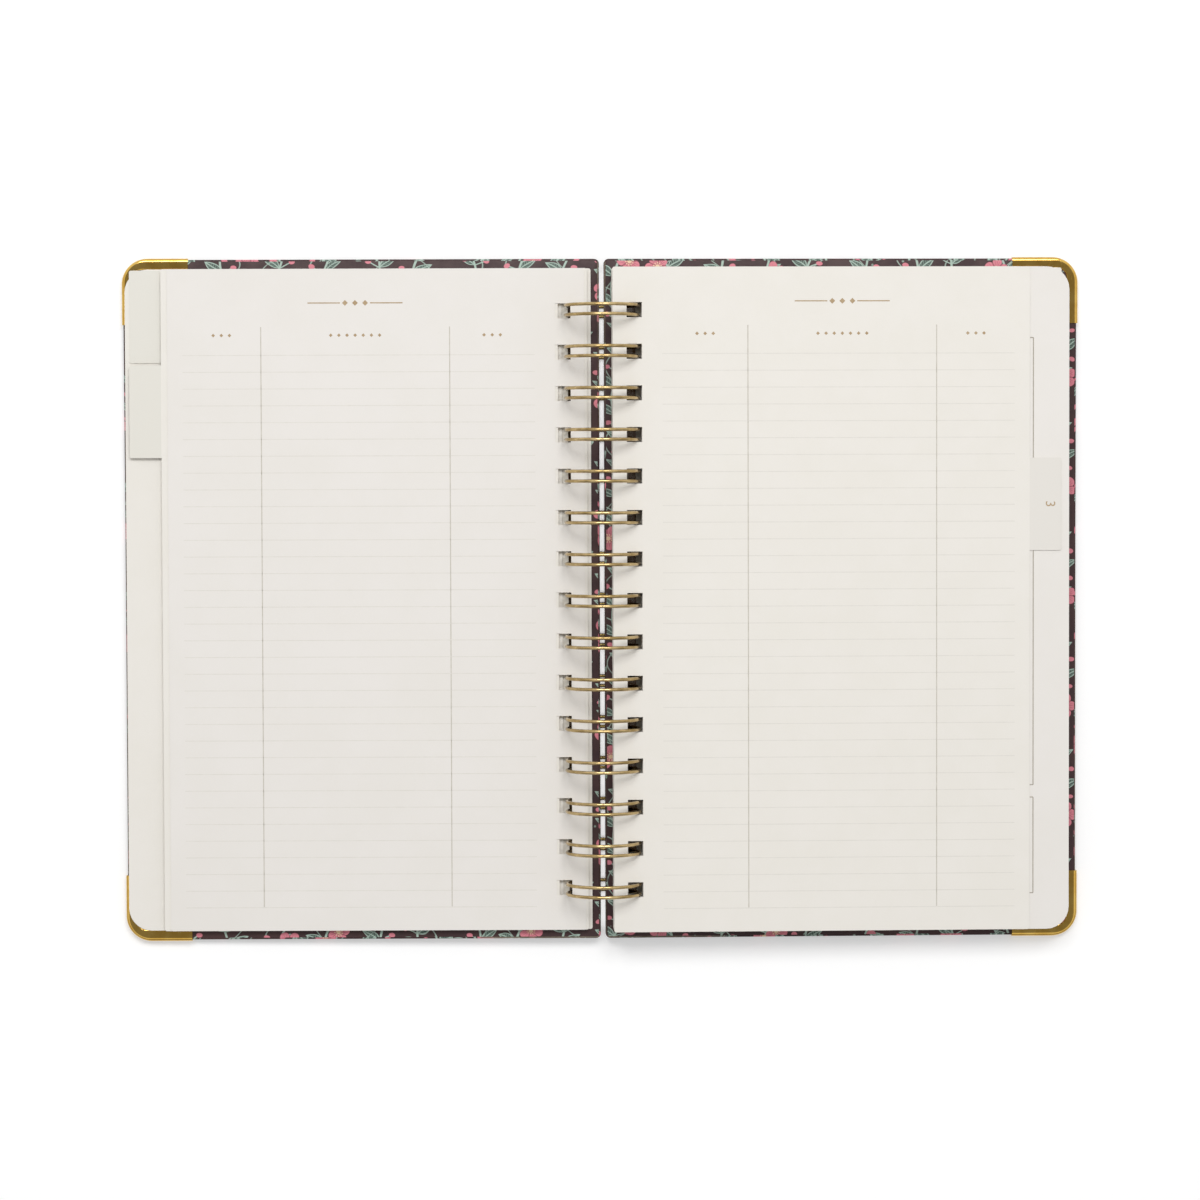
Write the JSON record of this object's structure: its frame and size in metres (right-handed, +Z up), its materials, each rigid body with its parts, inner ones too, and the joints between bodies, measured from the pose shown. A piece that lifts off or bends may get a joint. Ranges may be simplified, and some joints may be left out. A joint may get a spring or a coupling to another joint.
{
  "type": "undated planner",
  "caption": "Hardcover planner lying open, with tabbed leaves on a twin-loop wire spine, printed covers and metal corners; covers and leaves turn about the spine.",
  "frame": {"origin": "on the table under the middle of the spine, with the planner lying open", "axes": "+X across the open planner towards the back cover, +Y along the spine towards the page tops, +Z up"},
  "size_m": [0.2952, 0.2108, 0.0233],
  "materials": {
    "wire_gold": "gold-coloured plated wire",
    "corner_gold": "polished gold-coloured sheet",
    "grey_board": "raw",
    "printed_wrap": "matt laminated print",
    "endpaper": "uncoated",
    "tab_card": "uncoated card",
    "page_paper": "uncoated"
  },
  "bodies": {
    "binding": {"twin_loop_wire": "wire_gold"},
    "front_cover": {"front_board": "grey_board", "front_wrap": "printed_wrap", "front_endpaper": "endpaper", "front_top_corner": "corner_gold", "front_bottom_corner": "corner_gold"},
    "front_leaves": {"front_leaf": "tab_card", "tab_leaf_1": "tab_card", "front_pages": "page_paper", "tab_leaf_2": "tab_card"},
    "left_page": {"left_page": "page_paper"},
    "back_cover": {"back_board": "grey_board", "back_wrap": "printed_wrap", "back_endpaper": "endpaper", "back_top_corner": "corner_gold", "back_bottom_corner": "corner_gold"},
    "page_block": {"back_leaf": "tab_card", "month_pages_1": "page_paper", "month_pages_2": "page_paper", "month_pages_3": "page_paper", "month_pages_4": "page_paper", "month_pages_5": "page_paper", "month_pages_6": "page_paper", "month_tab_1": "tab_card", "month_tab_2": "tab_card", "month_tab_3": "tab_card", "month_tab_4": "tab_card", "month_tab_5": "tab_card", "month_tab_6": "tab_card", "planner_leaf": "page_paper"},
    "right_page": {"tab_leaf_3": "tab_card"}
  },
  "joints": [
    {"name": "front_cover_hinge", "type": "hinge", "parent": "binding", "child": "front_cover", "pos_m": [0, 0, 0.01172], "axis": [0, 1, 0], "range_deg": [0, 182]},
    {"name": "front_leaves_hinge", "type": "hinge", "parent": "front_cover", "child": "front_leaves", "pos_m": [0, 0, 0.01172], "axis": [0, 1, 0], "range_deg": [0, 178]},
    {"name": "left_page_hinge", "type": "hinge", "parent": "front_leaves", "child": "left_page", "pos_m": [0, 0, 0.01172], "axis": [0, 1, 0], "range_deg": [0, 182]},
    {"name": "back_cover_hinge", "type": "hinge", "parent": "binding", "child": "back_cover", "pos_m": [0, 0, 0.01172], "axis": [0, 1, 0], "range_deg": [-182, 0]},
    {"name": "page_block_hinge", "type": "hinge", "parent": "back_cover", "child": "page_block", "pos_m": [0, 0, 0.01172], "axis": [0, 1, 0], "range_deg": [-178, 0]},
    {"name": "right_page_hinge", "type": "hinge", "parent": "page_block", "child": "right_page", "pos_m": [0, 0, 0.01172], "axis": [0, 1, 0], "range_deg": [-182, 0]}
  ]
}
